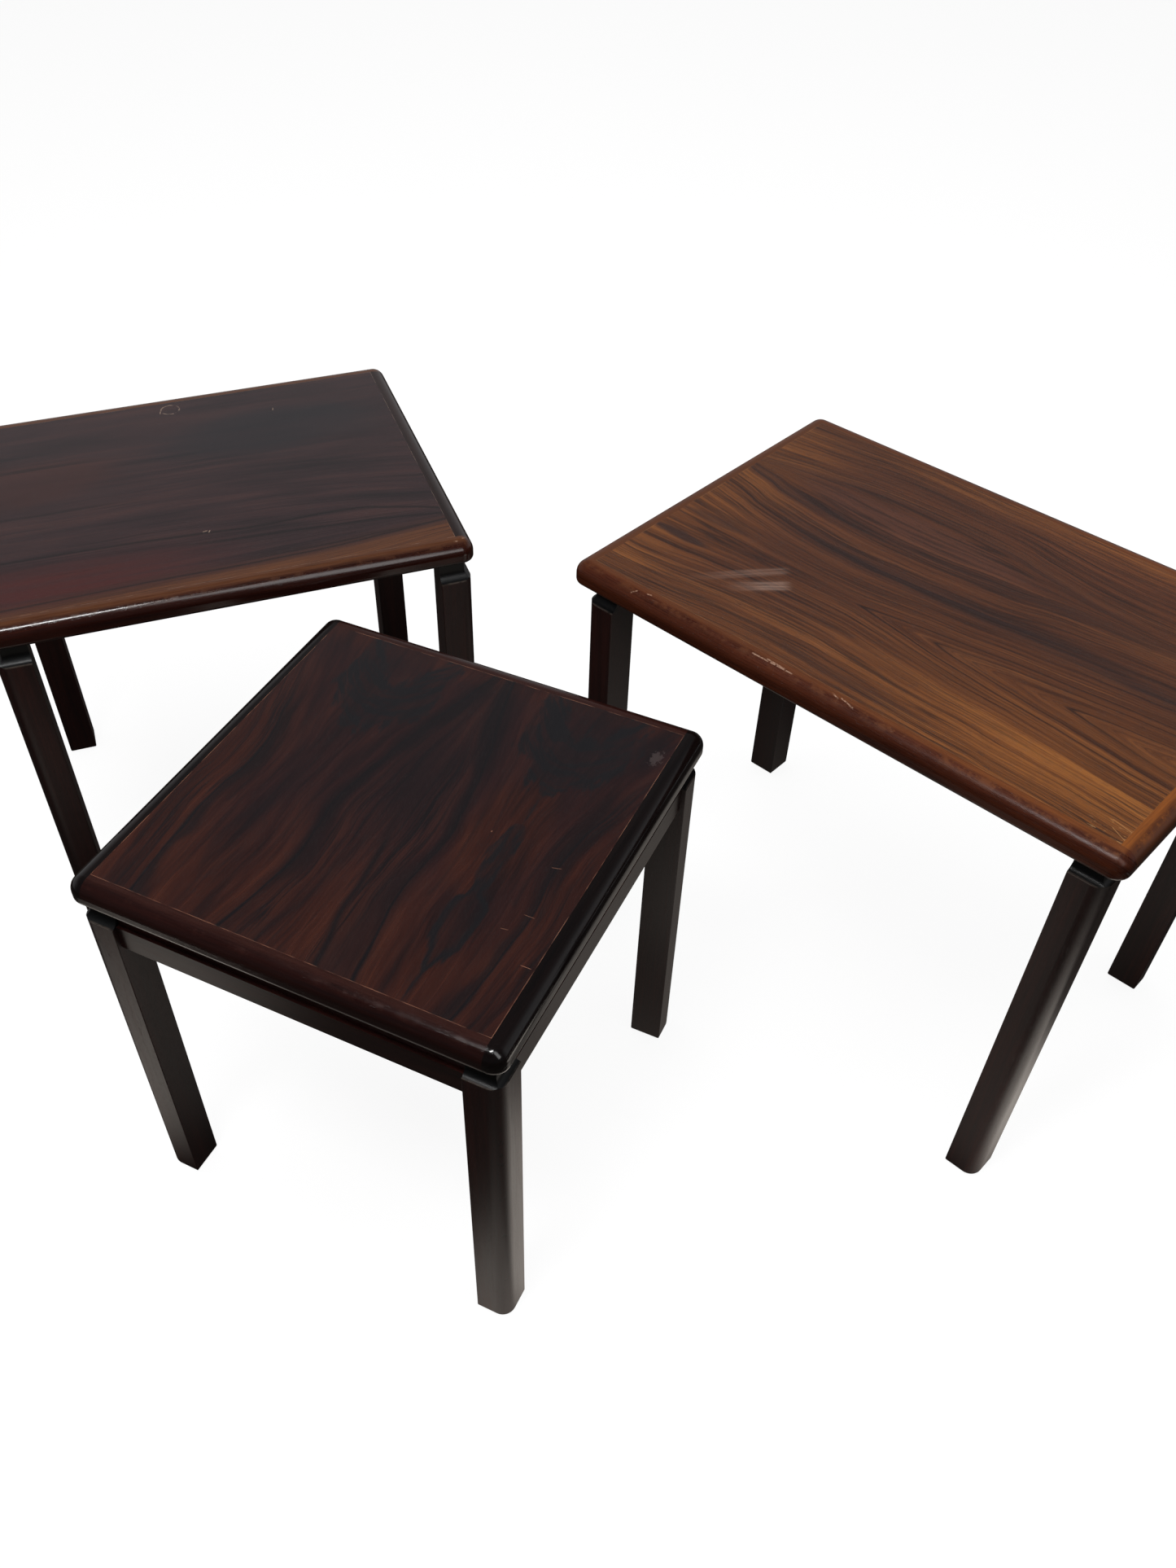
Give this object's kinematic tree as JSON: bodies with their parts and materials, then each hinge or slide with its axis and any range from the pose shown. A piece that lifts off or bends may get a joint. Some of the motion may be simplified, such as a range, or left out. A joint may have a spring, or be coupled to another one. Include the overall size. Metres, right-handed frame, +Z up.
{
  "type": "nesting tables",
  "caption": "Nest of side tables with veneered tops, rolled solid lippings, notched square legs and rebated rails, drawn apart.",
  "frame": {"origin": "on the floor at the centre of the whole set's footprint", "axes": "+Z up; +X along the large table's long side; the large table's open side, where the middle table slides in, faces -Y"},
  "size_m": [1.3566, 1.0114, 0.517],
  "materials": {
    "core_board": "raw chipboard",
    "dowel_beech": "raw",
    "large_end_lipping": "satin",
    "large_long_lipping": "satin, worn",
    "large_veneer": "satin, sun-faded",
    "leg_wood": "satin, stained",
    "middle_end_lipping": "satin",
    "middle_long_lipping": "satin",
    "middle_veneer": "satin",
    "rail_wood": "satin, stained",
    "small_end_lipping": "satin",
    "small_long_lipping": "satin",
    "small_veneer": "satin",
    "underside_veneer": "matt",
    "zinc_steel": "zinc plated"
  },
  "bodies": {
    "large_table": {"large_top_core": "core_board", "large_top_veneer": "large_veneer", "large_underside_veneer": "underside_veneer", "large_lipping_front": "large_long_lipping", "large_lipping_back": "large_long_lipping", "large_lipping_left": "large_end_lipping", "large_lipping_right": "large_end_lipping", "large_leg_front_left": "leg_wood", "large_leg_front_right": "leg_wood", "large_leg_back_left": "leg_wood", "large_leg_back_right": "leg_wood", "large_rail_left": "rail_wood", "large_rail_right": "rail_wood", "large_rail_back": "rail_wood", "large_rail_dowels": "dowel_beech", "large_leg_dowels": "dowel_beech", "large_top_screws": "zinc_steel"},
    "middle_table": {"middle_top_core": "core_board", "middle_top_veneer": "middle_veneer", "middle_underside_veneer": "underside_veneer", "middle_lipping_front": "middle_long_lipping", "middle_lipping_back": "middle_long_lipping", "middle_lipping_left": "middle_end_lipping", "middle_lipping_right": "middle_end_lipping", "middle_leg_front_left": "leg_wood", "middle_leg_front_right": "leg_wood", "middle_leg_back_left": "leg_wood", "middle_leg_back_right": "leg_wood", "middle_rail_left": "rail_wood", "middle_rail_right": "rail_wood", "middle_rail_back": "rail_wood", "middle_rail_dowels": "dowel_beech", "middle_leg_dowels": "dowel_beech", "middle_top_screws": "zinc_steel"},
    "small_table": {"small_top_core": "core_board", "small_top_veneer": "small_veneer", "small_underside_veneer": "underside_veneer", "small_lipping_front": "small_long_lipping", "small_lipping_back": "small_long_lipping", "small_lipping_left": "small_end_lipping", "small_lipping_right": "small_end_lipping", "small_leg_front_left": "leg_wood", "small_leg_front_right": "leg_wood", "small_leg_back_left": "leg_wood", "small_leg_back_right": "leg_wood", "small_rail_left": "rail_wood", "small_rail_right": "rail_wood", "small_rail_back": "rail_wood", "small_rail_front": "rail_wood", "small_rail_dowels": "dowel_beech", "small_leg_dowels": "dowel_beech", "small_top_screws": "zinc_steel"}
  },
  "joints": [
    {"name": "middle_table_slide", "type": "slide", "parent": "large_table", "child": "middle_table", "axis": [-0.8878, 0.4602, 0], "range_m": [0, 0.43]},
    {"name": "small_table_slide", "type": "slide", "parent": "large_table", "child": "small_table", "axis": [0.9516, 0.3074, 0], "range_m": [0, 0.3]}
  ]
}
